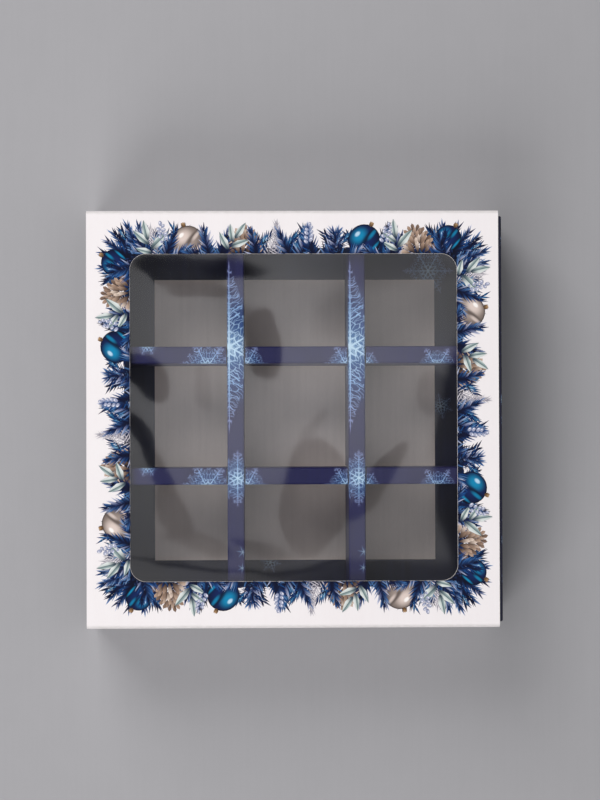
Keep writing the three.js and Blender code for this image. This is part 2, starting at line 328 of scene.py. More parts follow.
# %% Lay the photo table
TABLE_SIZE = 4.0
TABLE_GAP = 0.02 * MM
FADE_BEGINS, FADE_ENDS = 0.45, 1.5
bpy.ops.mesh.primitive_plane_add(size=TABLE_SIZE, location=(0, 0, -TABLE_GAP))
table = bpy.context.object
table.name = "photo_table"
table.data.materials.append(photo_paper)
tree = photo_paper.node_tree
far_off = fade(tree, vector_calc(tree, "LENGTH", object_place(tree)), FADE_ENDS, FADE_BEGINS)
seen = calc(tree, "MULTIPLY", add_node(tree, "LightPath").outputs["Is Camera Ray"], far_off)
backdrop = add_node(tree, "Emission", {"Color": BACKDROP_GREY, "Strength": 1.0})
paper = tree.nodes["Principled BSDF"].outputs["BSDF"]
shown = add_node(tree, "MixShader", {0: seen, 1: paper, 2: backdrop.outputs[0]})
feed(tree, tree.nodes["Material Output"].inputs["Surface"], shown.outputs[0])
print("the table fades into the backdrop from", FADE_BEGINS, "m on")

# %% [markdown]
# ## Sleeve
# The sleeve is one strip of board, creased into four walls and a lap, and glued inside the back wall. It
# could be a hollow box, but then it would have no lap and no board thickness. Folding it as the maker does
# is easy: the back wall is a plane, and its upper edge is extruded round the tube, panel by panel. Two cells
# of helpers come first, one for work in edit mode and one for whole pieces.

# %% Editing helpers
CREASE_ANGLE = math.radians(30)


def edit(piece):
    bpy.ops.object.select_all(action="DESELECT")
    piece.select_set(True)
    bpy.context.view_layer.objects.active = piece
    bpy.ops.object.mode_set(mode="EDIT")


def leave_edit():
    bpy.ops.object.mode_set(mode="OBJECT")


def pick(kind, rule):
    """Selects the vertices, edges or faces of the piece in edit mode for which the rule holds."""
    bpy.ops.mesh.select_mode(type=kind)
    bpy.ops.mesh.select_all(action="DESELECT")
    mesh = bmesh.from_edit_mesh(bpy.context.object.data)
    parts = {"VERT": mesh.verts, "EDGE": mesh.edges, "FACE": mesh.faces}[kind]
    for part in [part for part in parts if rule(part)]:
        part.select_set(True)
    bmesh.update_edit_mesh(bpy.context.object.data)


def middle(part):
    return sum((corner.co for corner in part.verts), Vector()) / len(part.verts)


def extrude(*move):
    bpy.ops.mesh.extrude_edges_move(TRANSFORM_OT_translate={"value": move})


def turn_outwards():
    bpy.ops.mesh.select_all(action="SELECT")
    bpy.ops.mesh.normals_make_consistent(inside=False)


def round_creases(radius, steps):
    """Rounds the creases of the folded sheet in edit mode, and turns its faces outwards."""
    pick("EDGE", lambda edge: len(edge.link_faces) == 2 and edge.calc_face_angle() > CREASE_ANGLE)
    bpy.ops.mesh.bevel(offset=radius, segments=steps)
    turn_outwards()


print("a fold of over", round(math.degrees(CREASE_ANGLE)), "degrees counts as a crease")

# %% Piece helpers
def settle(name):
    """Names the new primitive and puts its place and size into its mesh."""
    piece = bpy.context.object
    piece.name = piece.data.name = name
    bpy.ops.object.transform_apply(location=True, rotation=True, scale=True)
    return piece


def new_plane(name, place, width, depth, turn=(0, 0, 0)):
    bpy.ops.object.select_all(action="DESELECT")
    bpy.ops.mesh.primitive_plane_add(size=1, location=place, rotation=turn)
    bpy.context.object.scale = (width, depth, 1)
    return settle(name)


def apply_modifier(piece, kind, **settings):
    bpy.context.view_layer.objects.active = piece
    made = piece.modifiers.new(kind.lower(), kind)
    for name, value in settings.items():
        setattr(made, name, value)
    bpy.ops.object.modifier_apply(modifier=made.name)


def thicken(piece, thickness, finishes, rim=1):
    """Thickens a sheet inwards. Its finishes are face, back and more, and rim numbers the cut edge's."""
    for finish in finishes:
        piece.data.materials.append(finish)
    apply_modifier(piece, "SOLIDIFY", thickness=thickness, offset=-1, use_even_offset=True,
                   material_offset=1, material_offset_rim=rim)


def dress(piece, body, slot, *nodes):
    """Says which body a piece moves with and which CAD nodes it stands for. Its slot is not used."""
    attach(piece, body)
    if nodes:
        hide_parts(*nodes)


piece_helpers = (settle, new_plane, apply_modifier, thicken, dress)
print("piece helpers:", [helper.__name__ for helper in piece_helpers])

# %% Fold the sleeve
BOARD = 0.5 * MM
# The printed border needs this much height, so the board lies that much below the CAD top.
INK = 0.1 * MM
FOLD = 1.5 * MM
FOLD_STEPS = 5
UPRIGHT = (math.pi / 2, 0, 0)
top_low, top_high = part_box("sleeve_top")
lap_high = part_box("sleeve_seam_flap")[1]
sleeve_middle = (top_low.x + top_high.x) / 2
sleeve_length = top_high.x - top_low.x
sleeve_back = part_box("sleeve_back")[1].y
sleeve_top = top_high.z - INK

back_middle = (sleeve_middle, sleeve_back, sleeve_top / 2)
sleeve = new_plane("sleeve", back_middle, sleeve_length, sleeve_top, UPRIGHT)
edit(sleeve)
pick("EDGE", lambda edge: middle(edge).z > sleeve_top - BOARD)
extrude(0, -2 * sleeve_back, 0)
extrude(0, 0, -sleeve_top)
extrude(0, sleeve_back + lap_high.y, 0)
extrude(0, 0, lap_high.z)
round_creases(FOLD, FOLD_STEPS)
leave_edit()
print("the folded sleeve has", len(sleeve.data.polygons), "faces")

# %% [markdown]
# A crease stretches the white coat, so along the four folds it is a little duller, in short uneven breaks.
# Object coordinates tell how near a point is to a fold, and a noise drawn out along the fold breaks the
# line.

# %% Wear the folds
WEAR_WIDTH = 1.6 * MM
WEAR = 0.6
WORN_WHITE = tint(196, 195, 188)
BREAK_SCALE, BREAK_STRETCH = 1500.0, (0.3, 1.0, 1.0)
BREAK_FADE = (0.75, 0.1)
tree = coated_white.node_tree
white_coat = tree.nodes["Principled BSDF"].inputs["Base Color"]
place = object_place(tree)
parts = split(tree, place)
off_middle = calc(tree, "ABSOLUTE", calc(tree, "SUBTRACT", parts["Z"], sleeve_top / 2))
near_side = fade(tree, calc(tree, "ABSOLUTE", parts["Y"]), sleeve_back, sleeve_back - WEAR_WIDTH)
near_face = fade(tree, off_middle, sleeve_top / 2, sleeve_top / 2 - WEAR_WIDTH)
breaks = noise(tree, place, BREAK_SCALE, detail=2.0, stretch=BREAK_STRETCH)["Fac"]
on_fold = calc(tree, "MULTIPLY", near_side, near_face)
broken = calc(tree, "MULTIPLY", on_fold, fade(tree, breaks, *BREAK_FADE))
worn = calc(tree, "MULTIPLY", broken, WEAR)
feed(tree, white_coat, mix(tree, worn, white_coat.links[0].from_socket, WORN_WHITE))
print("worn folds are", WEAR_WIDTH / MM, "mm wide")

# %% [markdown]
# A Solidify modifier gives the folded sheet its board thickness, inwards, and its own materials for the bare
# inside and the cut edges. The window is then stamped out with a cutter that has round corners, as a die
# does. A Boolean is the plain way to make such a cut.

# %% Give the sleeve its thickness and stamp the window
FILM_LAP = 6.0 * MM
WINDOW_CORNER = 5.6 * MM
CORNER_STEPS = 10
CUTTER = 10 * MM
STEEP = 0.1
CUT_EDGE = 2
film_low, film_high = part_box("window_film")
window_middle = (film_low + film_high) / 2
window_half = (film_high.x - film_low.x) / 2 - FILM_LAP


def stamp(piece, place, size, corner=0):
    """Cuts a block of this size out of a piece, with its upright edges rounded if a corner is given."""
    bpy.ops.object.select_all(action="DESELECT")
    bpy.ops.mesh.primitive_cube_add(size=1, location=place, scale=size)
    cutter = settle("cutter")
    if corner:
        edit(cutter)
        pick("EDGE", lambda edge: abs(edge.verts[0].co.z - edge.verts[1].co.z) > size[2] / 2)
        bpy.ops.mesh.bevel(offset=corner, segments=CORNER_STEPS)
        leave_edit()
    apply_modifier(piece, "BOOLEAN", object=cutter, operation="DIFFERENCE", solver="EXACT")
    bpy.data.objects.remove(cutter)


thicken(sleeve, BOARD - INK / 2, (coated_white, bare_back, cut_cream), CUT_EDGE)
stamp(sleeve, (window_middle.x, window_middle.y, sleeve_top),
      (2 * window_half, 2 * window_half, CUTTER), WINDOW_CORNER)
for face in sleeve.data.polygons:
    in_top = face.center.z > sleeve_top - BOARD and abs(face.center.y) < sleeve_back - FOLD
    off_ends = abs(face.center.x - sleeve_middle) < sleeve_length / 2 - FOLD
    if in_top and off_ends and abs(face.normal.z) < STEEP:
        face.material_index = CUT_EDGE
dress(sleeve, "sleeve", "sleeve_board",
      "sleeve_top", "sleeve_front", "sleeve_back", "sleeve_base", "sleeve_seam_flap")
print("sleeve faces:", len(sleeve.data.polygons), "window in mm:", round(2 * window_half / MM, 2))

# %% [markdown]
# ## Window film
# The window is a sheet of clear film, glued to the inside of the top along a border. Between the glue lines
# it is a little slack and lies in shallow waves, which is why it mirrors the ceiling in broken, soft shapes.
# A grid with a Displace modifier makes such waves. A vertex group holds the glued border flat.

# %% Lay the film
FILM_STEPS = 96
FILM = 0.15 * MM
WAVE = 0.015 * MM
WAVE_SIZE = 34 * MM
SLACK_BEGINS = 7 * MM
bpy.ops.object.select_all(action="DESELECT")
bpy.ops.mesh.primitive_grid_add(x_subdivisions=FILM_STEPS, y_subdivisions=FILM_STEPS,
                                size=film_high.x - film_low.x, location=window_middle)
film = settle("window_film_sheet")
slack = film.vertex_groups.new(name="slack")
for corner in film.data.vertices:
    away = corner.co - window_middle
    inwards = window_half - max(abs(away.x), abs(away.y))
    slack.add([corner.index], min(max(inwards / SLACK_BEGINS, 0), 1) ** 2, "REPLACE")
waves = bpy.data.textures.new("film_waves", "CLOUDS")
waves.noise_scale = WAVE_SIZE
waves.noise_depth = 0
apply_modifier(film, "DISPLACE", texture=waves, texture_coords="LOCAL", strength=WAVE, mid_level=0.5,
               direction="Z", vertex_group="slack")
apply_modifier(film, "SOLIDIFY", thickness=FILM, offset=0)
bpy.ops.object.shade_smooth()
heights = [corner.co.z / MM for corner in film.data.vertices]
print("film lies between", round(min(heights), 2), "and", round(max(heights), 2), "mm")

# %% [markdown]
# The film's finish is a thin clear sheet: it lets light straight through and mirrors a little at each of its
# two sides. A glass shader would bend the light and cast a dark shadow, so a Transparent and a Glossy shader
# are mixed by Fresnel. The side turned away adds nothing, and the near side counts for both.

# %% Clear film material
FILM_IOR = 1.5
FILM_ROUGHNESS = 0.02
FILM_CLEAR = (0.97, 0.975, 0.98, 1.0)
MIRROR_WHITE = (1.0, 1.0, 1.0, 1.0)
clear_film = bpy.data.materials.new("clear_film")
clear_film.use_nodes = True
tree = clear_film.node_tree
tree.nodes.clear()
both_sides = calc(tree, "MULTIPLY", add_node(tree, "Fresnel", {"IOR": FILM_IOR}).outputs[0], 2.0)
near_side = calc(tree, "SUBTRACT", 1.0, add_node(tree, "NewGeometry").outputs["Backfacing"])
share = calc(tree, "MULTIPLY", calc(tree, "MINIMUM", both_sides, 1.0), near_side)
through = add_node(tree, "BsdfTransparent", {"Color": FILM_CLEAR})
gloss = add_node(tree, "BsdfGlossy", {"Color": MIRROR_WHITE, "Roughness": FILM_ROUGHNESS})
sheet = add_node(tree, "MixShader", {0: share, 1: through.outputs[0], 2: gloss.outputs[0]})
add_node(tree, "OutputMaterial", {"Surface": sheet.outputs[0]})
film.data.materials.append(clear_film)
dress(film, "sleeve", "clear_film", "window_film")
print("film material mirrors", round(2 * ((FILM_IOR - 1) / (FILM_IOR + 1)) ** 2, 3), "straight on")

# %% [markdown]
# ## Snow crystals
# The tray and its dividers carry a frost print. A snow crystal has six equal arms with side twigs, and frost
# lace between them. Ping-pong on the angle folds the plane into one half arm, so the arm, its twigs and the
# lace are drawn once and the other eleven halves follow. The lace is the edges of Voronoi cells, drawn out
# along the twigs, and a little noise curls all of it. Each crystal sets the centre, the radius and the turn,
# and a small one is drawn finer than a large one.

# %% Fold the plane of a crystal into half an arm
FULL_SIZE = 29 * MM
FINER = 0.4
ARMS = 6
CURL, CURL_SCALE = 2.4 * MM, 330.0
snow_crystal, given, result = new_group(
    "snow_crystal",
    {"Vector": "Vector", "Centre": "Vector", "Radius": "Float", "Turn": "Float", "Fullness": "Float"},
    {"Ink": "Float", "Reach": "Float"})
sum_of = partial(calc, snow_crystal)
soft = partial(fade, snow_crystal)
shrink = sum_of("POWER", sum_of("DIVIDE", given["Radius"], FULL_SIZE), FINER)
radius = sum_of("DIVIDE", given["Radius"], shrink)
away = vector_calc(snow_crystal, "SUBTRACT", given["Vector"], given["Centre"])
enlarged = vector_calc(snow_crystal, "DIVIDE", away, shrink)
parts = split(snow_crystal, enlarged)
square = sum_of("MULTIPLY_ADD", parts["X"], parts["X"], sum_of("MULTIPLY", parts["Y"], parts["Y"]))
distance = sum_of("SQRT", square)
angle = sum_of("ADD", sum_of("ARCTAN2", parts["Y"], parts["X"]), given["Turn"])
off_arm = sum_of("PINGPONG", angle, math.pi / ARMS)
along = sum_of("MULTIPLY", distance, sum_of("COSINE", off_arm))
beside = sum_of("MULTIPLY", distance, sum_of("SINE", off_arm))
curls = noise(snow_crystal, enlarged, CURL_SCALE, detail=2.0)["Color"]
curl = split(snow_crystal, vector_calc(snow_crystal, "SUBTRACT", curls, HALF_GREY))
curled_along = sum_of("MULTIPLY_ADD", curl["X"], CURL, along)
curled_beside = sum_of("MULTIPLY_ADD", curl["Y"], CURL, beside)
print("the half arm spans", 180 / ARMS, "degrees")

# %% Ink the arm, its twigs and the lace
ARM, ARM_TAPER = 0.40 * MM, 0.45
CORE = 0.07
TWIG, TWIG_STEP = 0.34 * MM, 2.3 * MM
TWIG_ANGLE = math.pi / 3
TWIG_SHORTEST, TWIG_SPREAD = 0.7, 0.5
TWIG_CHANCE = (0.5, 0.75)
LACE_STEP, LACE_LENGTH = 1.4 * MM, 2.8 * MM
LACE_LINE, LACE_INK = (0.03, 0.11), 0.75
twig_root = sum_of("MULTIPLY_ADD", curled_beside, -1 / math.tan(TWIG_ANGLE), curled_along)
twig_count = sum_of("ROUND", sum_of("DIVIDE", twig_root, TWIG_STEP))
chance = add_node(snow_crystal, "TexWhiteNoise", {"W": twig_count}, noise_dimensions="1D").outputs["Value"]
left_over = sum_of("MULTIPLY", sum_of("SUBTRACT", radius, twig_root), given["Fullness"])
twig_length = sum_of("MULTIPLY", left_over, sum_of("MULTIPLY_ADD", chance, TWIG_SPREAD, TWIG_SHORTEST))
beyond = sum_of("SUBTRACT", beside, twig_length)
off_twig = sum_of("PINGPONG", twig_root, TWIG_STEP / 2)
twig = sum_of("MULTIPLY", soft(off_twig, TWIG / 3, TWIG), soft(chance, *TWIG_CHANCE))
cells = {0: sum_of("DIVIDE", twig_root, LACE_STEP), 1: sum_of("DIVIDE", curled_beside, LACE_LENGTH)}
lace_place = add_node(snow_crystal, "CombineXYZ", cells).outputs[0]
lace = add_node(snow_crystal, "TexVoronoi", {"Vector": lace_place, "Scale": 1.0}, voronoi_dimensions="2D",
                feature="DISTANCE_TO_EDGE").outputs["Distance"]
frosted = sum_of("MAXIMUM", twig, sum_of("MULTIPLY", soft(lace, *LACE_LINE), LACE_INK))
frosted = sum_of("MULTIPLY", frosted, soft(beyond, -TWIG_STEP / 4, 0.0))
arm_half = sum_of("MULTIPLY_ADD", sum_of("DIVIDE", along, radius), -ARM * ARM_TAPER, ARM)
arm = soft(sum_of("SUBTRACT", beside, arm_half), -ARM / 2, 0.0)
reach = sum_of("DIVIDE", distance, radius)
drawn = sum_of("MAXIMUM", sum_of("MAXIMUM", arm, soft(reach, CORE / 4, CORE)), frosted)
inside = soft(sum_of("SUBTRACT", along, radius), -TWIG_STEP, 0.0)
feed(snow_crystal, result["Ink"], sum_of("MULTIPLY", drawn, inside))
feed(snow_crystal, result["Reach"], reach)
print("snow crystal group has", len(snow_crystal.nodes), "nodes")

# %% [markdown]
# The print itself is a dark ground with crystals mixed in. Each can have a blue glow round its middle, and
# its pale ink turns from almost white at the middle to lilac at the tips.

# %% Frost print helpers
PRINT_ROUGHNESS = 0.45
PRINT_RELIEF = 0.001
GROUND_STOP, HAZE_STOP = 0.3, 0.75
CRYSTAL_INK = ((0.05, (206, 236, 255)), (0.45, (150, 190, 236)), (1.0, (150, 154, 208)))
CRYSTAL_HAZE = ((0.04, (96, 162, 216)), (0.26, (30, 96, 168)))
INK_FADE, HAZE_FADE = (0.3, 2.4), (0.0, 0.8)
FULLNESS = 0.45


def frost_print(name, ground, haze):
    """Dark print over board: its material and tree, the socket to paint, and its colour with no crystals."""
    material, tree, surface = new_material(name, PRINT_ROUGHNESS)
    fibre = use_group(tree, paper_fibre, {"Vector": object_place(tree)})
    board_relief(tree, surface, fibre, PRINT_RELIEF)
    colour = ramp(tree, fibre["Mottle"], ((GROUND_STOP, ground), (HAZE_STOP, haze)))
    return material, tree, surface["Base Color"], colour


def add_crystal(tree, colour, flat, centre, radius, turn, strength, glow, fullness=FULLNESS):
    """Prints one crystal over a colour. Strength is how solid its ink is, glow how blue its haze."""
    place = {"Vector": flat, "Centre": centre, "Radius": radius, "Turn": turn, "Fullness": fullness}
    drawn = use_group(tree, snow_crystal, place)
    haze = calc(tree, "MULTIPLY", fade(tree, drawn["Reach"], *HAZE_FADE), glow)
    colour = mix(tree, haze, colour, ramp(tree, drawn["Reach"], CRYSTAL_HAZE))
    solid = calc(tree, "MULTIPLY", fade(tree, drawn["Reach"], *INK_FADE), strength)
    inked = calc(tree, "MULTIPLY", drawn["Ink"], solid)
    return mix(tree, inked, colour, ramp(tree, drawn["Reach"], CRYSTAL_INK))


def put_crystal(tree, colour, flat, x, y, radius, turn, *frost):
    """A crystal by its place and radius in mm and its turn in degrees."""
    return add_crystal(tree, colour, flat, Vector((x, y, 0)) * MM, radius * MM, math.radians(turn), *frost)


print("crystal ink and haze have", len(CRYSTAL_INK), "and", len(CRYSTAL_HAZE), "colours")

# %% [markdown]
# ## Tray
# The tray is one blank too. Each side folds up, over, down and in again, so the walls are hollow and their
# feet lie on the bare floor. Its printed side is the outside all the way, so a single sheet can be folded
# from the floor plane: the edges are extruded up, in, down and in, and then thickened on the bare side. Its
# outer walls carry scattered crystals, and a few faint ones lie on the feet.

# %% Frost print materials for the tray
INNER_NIGHT, INNER_HAZE = (17, 19, 48), (27, 31, 68)
OUTER_NIGHT, OUTER_HAZE = (15, 15, 31), (23, 24, 48)
# Place and radius in mm, turn in degrees, and strength of the ink.
FOOT_CRYSTALS = ((49.6, 54.4, 10.0, 0, 0.6), (54.0, 4.8, 5.4, 20, 0.45), (-8.5, -52.0, 4.6, 10, 0.4))
FOOT_FADE = 1 * MM
SCATTER, SCATTER_STRAY = 95.0, 0.7
SMALLEST, SIZE_SPREAD = 1.0 * MM, 2.6 * MM
WALL_CHANCE = (0.6, 0.65)
WALL_INK, WALL_GLOW = 0.8, 0.1
foot_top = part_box("tray_flap_left")[1].z

tray_print, tree, painted, colour = frost_print("tray_frost_print", INNER_NIGHT, INNER_HAZE)
place = object_place(tree)
on_foot = fade(tree, split(tree, place)["Z"], foot_top, foot_top + FOOT_FADE)
for *crystal, strength in FOOT_CRYSTALS:
    faint = calc(tree, "MULTIPLY", on_foot, strength)
    colour = put_crystal(tree, colour, place, *crystal, faint, 0.0)
feed(tree, painted, colour)

wall_print, tree, painted, colour = frost_print("tray_wall_frost_print", OUTER_NIGHT, OUTER_HAZE)
flat = add_node(tree, "UVMap", uv_map="unfolded").outputs["UV"]
scatter = {"Vector": flat, "Scale": SCATTER, "Randomness": SCATTER_STRAY}
spots = add_node(tree, "TexVoronoi", scatter, voronoi_dimensions="2D").outputs
chance = split(tree, spots["Color"])
radius = calc(tree, "MULTIPLY_ADD", chance["X"], SIZE_SPREAD, SMALLEST)
turn = calc(tree, "MULTIPLY", chance["Y"], math.pi)
printed = calc(tree, "MULTIPLY", fade(tree, chance["Z"], *WALL_CHANCE), WALL_INK)
feed(tree, painted, add_crystal(tree, colour, flat, spots["Position"], radius, turn, printed, WALL_GLOW))
print("tray prints:", tray_print.name, wall_print.name)

# %% Fold the tray
TRAY_FOLD = 0.6 * MM
TRAY_FOLD_STEPS = 3
tray_low = Vector((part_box("tray_wall_left")[0].x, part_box("tray_wall_front")[0].y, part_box("tray_floor")[0].z))
tray_high = Vector((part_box("tray_wall_right")[1].x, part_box("tray_wall_back")[1].y,
                    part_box("tray_rim_left")[1].z))
tray_middle = (tray_low + tray_high) / 2
tray_size = tray_high - tray_low


def opening(kind):
    """The clear width and depth between the tray's four panels of one kind."""
    return Vector((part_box(f"tray_{kind}_right")[0].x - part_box(f"tray_{kind}_left")[1].x,
                   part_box(f"tray_{kind}_back")[0].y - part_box(f"tray_{kind}_front")[1].y))


def draw_in(before, after):
    """Extrudes the selected loop and pulls it in from one size to the next, about the tray's middle."""
    extrude(0, 0, 0)
    bpy.ops.transform.resize(value=(after.x / before.x, after.y / before.y, 1), center_override=tray_middle)


well = opening("lining")
tray = new_plane("tray", (tray_middle.x, tray_middle.y, tray_low.z), tray_size.x, tray_size.y)
edit(tray)
pick("EDGE", lambda edge: True)
extrude(0, 0, tray_size.z)
draw_in(tray_size, well)
extrude(0, 0, foot_top - tray_high.z)
draw_in(well, opening("flap"))
round_creases(TRAY_FOLD, TRAY_FOLD_STEPS)
bpy.ops.uv.cube_project(cube_size=1.0, correct_aspect=False)
leave_edit()
tray.data.uv_layers.active.name = "unfolded"
print("the folded tray has", len(tray.data.polygons), "faces")

# %% Thicken the tray
TRAY_SIDES = ("left", "right", "front", "back")
TRAY_KINDS = ("wall", "rim", "lining", "flap")
OUTER_WALL = 2
thicken(tray, BOARD, (tray_print, bare_back, wall_print))
for face in tray.data.polygons:
    away = face.center - tray_middle
    if max(abs(away.x) - tray_size.x / 2, abs(away.y) - tray_size.y / 2) > -BOARD / 2:
        face.material_index = OUTER_WALL
dress(tray, "tray", "tray_print",
      "tray_floor", *[f"tray_{kind}_{side}" for kind in TRAY_KINDS for side in TRAY_SIDES])
print("tray faces:", len(tray.data.polygons))

# %% [markdown]
# ## Dividers
# Each divider is a strip creased into an upside-down channel. The long ones are slotted from below and the
# cross ones from above, so they half-lap like an egg crate. One of each is modelled and copied. A UV map
# lays the strip out flat, across and along, so the frost print runs over its folds and down its sides.

# %% Frost print materials for the dividers
DIVIDER_NIGHT, DIVIDER_HAZE = (26, 26, 72), (35, 35, 88)
# Across the strip, along it and radius in mm, and turn in degrees.
LONG_CRYSTALS = ((-2.35, 25.6, 31.0, 30), (0.6, -20.8, 10.5, 30), (2.3, -46.8, 2.7, 10),
                 (2.1, -52.4, 2.2, 35))
CROSS_CRYSTALS = ((-4.4, -30.8, 10.6, 26), (-4.2, -17.2, 9.0, 32), (-4.2, 18.4, 9.0, 28),
                  (-3.8, 25.0, 6.0, 30), (-5.0, 50.4, 8.8, 30), (3.8, -51.8, 4.6, 30))
LARGE_CRYSTAL, TINY_CRYSTAL = 20, 4
# How solid the ink of a crystal is, and how full its twigs.
LARGE_FROST, SMALL_FROST, TINY_FROST = (1.0, 0.27), (0.95, 0.6), (0.45, 0.2)
GLOW, GLOWING_SIZE = 0.7, 10.0


def frost_of(radius):
    if radius > LARGE_CRYSTAL:
        return LARGE_FROST
    return TINY_FROST if radius < TINY_CRYSTAL else SMALL_FROST


def divider_print(name, crystals):
    material, tree, painted, colour = frost_print(name, DIVIDER_NIGHT, DIVIDER_HAZE)
    flat = add_node(tree, "UVMap", uv_map="strip").outputs["UV"]
    for across, along, radius, turn in crystals:
        solid, full = frost_of(radius)
        glow = GLOW * solid * min(radius / GLOWING_SIZE, 1)
        colour = put_crystal(tree, colour, flat, across, along, radius, turn, solid, glow, full)
    feed(tree, painted, colour)
    return material


long_print = divider_print("long_divider_print", LONG_CRYSTALS)
cross_print = divider_print("cross_divider_print", CROSS_CRYSTALS)
print("crystals on a long and on a cross divider:", len(LONG_CRYSTALS), len(CROSS_CRYSTALS))

# %% Fold a divider
DIVIDER_FOLD = 0.7 * MM
DIVIDER_FOLD_STEPS = 3


def fold_strip(node, across, finish):
    """A channel in the place of a CAD node, open below."""
    low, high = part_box(node)
    size, centre = high - low, (low + high) / 2
    strip = new_plane(node + "_strip", (centre.x, centre.y, high.z), size.x, size.y)
    edit(strip)
    pick("EDGE", lambda edge: abs(middle(edge)[across] - centre[across]) > size[across] / 4)
    extrude(0, 0, -size.z)
    round_creases(DIVIDER_FOLD, DIVIDER_FOLD_STEPS)
    leave_edit()
    thicken(strip, BOARD, (finish, bare_back))
    return strip


print("a divider's folds are rounded by", DIVIDER_FOLD / MM, "mm")

# %% Slot a divider and lay it out
PLAY = 0.3 * MM


def slot_strip(strip, node, across, along, others, from_top):
    """Cuts the strip to half its height where the other dividers cross it."""
    low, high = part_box(node)
    size, centre = high - low, (low + high) / 2
    for other in others:
        other_low, other_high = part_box(other)
        place = (other_low + other_high) / 2
        place[across] = centre[across]
        place.z = centre.z + (size.z if from_top else -size.z) / 2
        cut = Vector((0, 0, size.z + PLAY))
        cut[across] = size[across] + 2 * PLAY
        cut[along] = other_high[along] - other_low[along] + 2 * PLAY
        stamp(strip, place, cut)


def lay_out(strip, node, across, along):
    """Maps the strip flat: across its top and down its sides one way, along it the other."""
    low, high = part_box(node)
    half_width = (high[across] - low[across]) / 2
    unfolded = strip.data.uv_layers.new(name="strip")
    for loop, laid in zip(strip.data.loops, unfolded.data):
        spot = strip.data.vertices[loop.vertex_index].co
        aside = spot[across] - (low[across] + high[across]) / 2
        down = high.z - spot.z if abs(aside) > half_width - DIVIDER_FOLD else 0
        laid.uv = (aside + math.copysign(down, aside), spot[along])


print("the slots are", 2 * PLAY / MM, "mm wider than the strips that cross there")

# %% Place the dividers
LONG = ("long_divider_left", "long_divider_right")
CROSS = ("cross_divider_front", "cross_divider_back")
X, Y = 0, 1
for nodes, others, across, along, from_top, finish in (
        (LONG, CROSS, X, Y, False, long_print), (CROSS, LONG, Y, X, True, cross_print)):
    first = fold_strip(nodes[0], across, finish)
    slot_strip(first, nodes[0], across, along, others, from_top)
    lay_out(first, nodes[0], across, along)
    second = first.copy()
    second.data = first.data.copy()
    second.name = nodes[1] + "_strip"
    scene.collection.objects.link(second)
    second.data.transform(Matrix.Translation(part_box(nodes[1])[0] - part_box(nodes[0])[0]))
    for strip, node in zip((first, second), nodes):
        dress(strip, "tray", "divider_print", node)

# %% [markdown]
# ## Printed border
# Round the window runs a printed winter border: fir sprigs, glass balls, cones, leaves and berries in blues,
# silver and champagne. Ink lies on the board, so every printed shape is a very thin closed solid. A needle,
# a leaf, a cone scale and a disc are modelled once. Lists of places, in mm, then print them hundreds of
# times, one side of the border is made from them, and its quarter turns make the other three.

# %% Model the printing shapes
RIDGE = 0.006
NEAR_END = 0.02


def ink_shape(name, corners, narrow=1.0, widest=0.5):
    """A thin closed shape from a fan of triangles, 1 long and 1 wide, with its middle raised a little."""
    bpy.ops.object.select_all(action="DESELECT")
    bpy.ops.mesh.primitive_circle_add(vertices=corners, radius=0.5, fill_type="TRIFAN", location=(0, 0.5, 0))
    shape = settle(name)
    edit(shape)
    pick("VERT", lambda corner: len(corner.link_faces) == corners)
    bpy.ops.transform.translate(value=(0, 0, RIDGE))
    pick("VERT", lambda corner: NEAR_END < abs(corner.co.x) < 0.5 - NEAR_END)
    bpy.ops.transform.resize(value=(narrow, 1, 1), center_override=(0, 0, 0))
    pick("VERT", lambda corner: NEAR_END < corner.co.y < 1 - NEAR_END)
    bpy.ops.transform.translate(value=(0, widest - 0.5, 0))
    pick("EDGE", lambda edge: len(edge.link_faces) == 1)
    bpy.ops.mesh.edge_face_add()
    turn_outwards()
    leave_edit()
    laid = shape.data.uv_layers.new(name="OFBake")
    for loop, spot in zip(shape.data.loops, laid.data):
        corner = shape.data.vertices[loop.vertex_index].co
        spot.uv = (corner.x + 0.5, corner.y)
    return shape


needle = ink_shape("needle_shape", 4, widest=0.34)
leaf = ink_shape("leaf_shape", 8, narrow=0.72, widest=0.44)
scale = ink_shape("scale_shape", 6, widest=0.58)
disc = ink_shape("disc_shape", 28)
shapes = (needle, leaf, scale, disc)
print("faces of needle, leaf, scale and disc:", [len(shape.data.polygons) for shape in shapes])

# %% Print copies of a shape into one piece
TONE_WIDTH = 0.18
MID_TONE = 0.5


def print_copies(name, shape, placings, across=TONE_WIDTH):
    """Joins copies of a shape. A placing is a matrix and a tone, which shifts the copy's UV sideways."""
    source = shape.data
    spots = np.array([(*corner.co, 1.0) for corner in source.vertices])
    faces = [tuple(face.vertices) for face in source.polygons]
    laid = np.array([spot.uv for spot in source.uv_layers["OFBake"].data])
    corners, polygons, maps = [], [], []
    for matrix, tone in placings:
        first = len(corners) * len(spots)
        corners.append(spots @ np.array(matrix).T)
        polygons += [tuple(first + index for index in face) for face in faces]
        maps.append(np.column_stack((tone + (laid[:, 0] - 0.5) * across, laid[:, 1])))
    mesh = bpy.data.meshes.new(name)
    mesh.from_pydata(np.vstack(corners)[:, :3].tolist(), [], polygons)
    mesh.uv_layers.new(name="OFBake").data.foreach_set("uv", np.vstack(maps).astype(np.float32).ravel())
    piece = bpy.data.objects.new(name, mesh)
    scene.collection.objects.link(piece)
    return piece


def placing(x, y, z=0, lean=0, width=1, length=1, thick=1):
    """A shape put down at x, y and height z in the ink, leaning clockwise from straight out, in degrees."""
    size = Matrix.Diagonal((width, length, thick, 1))
    return Matrix.Translation((x, y, z)) @ Matrix.Rotation(math.radians(-lean), 4, "Z") @ size


print("a copy's tones span", TONE_WIDTH, "of the ink's ramp")

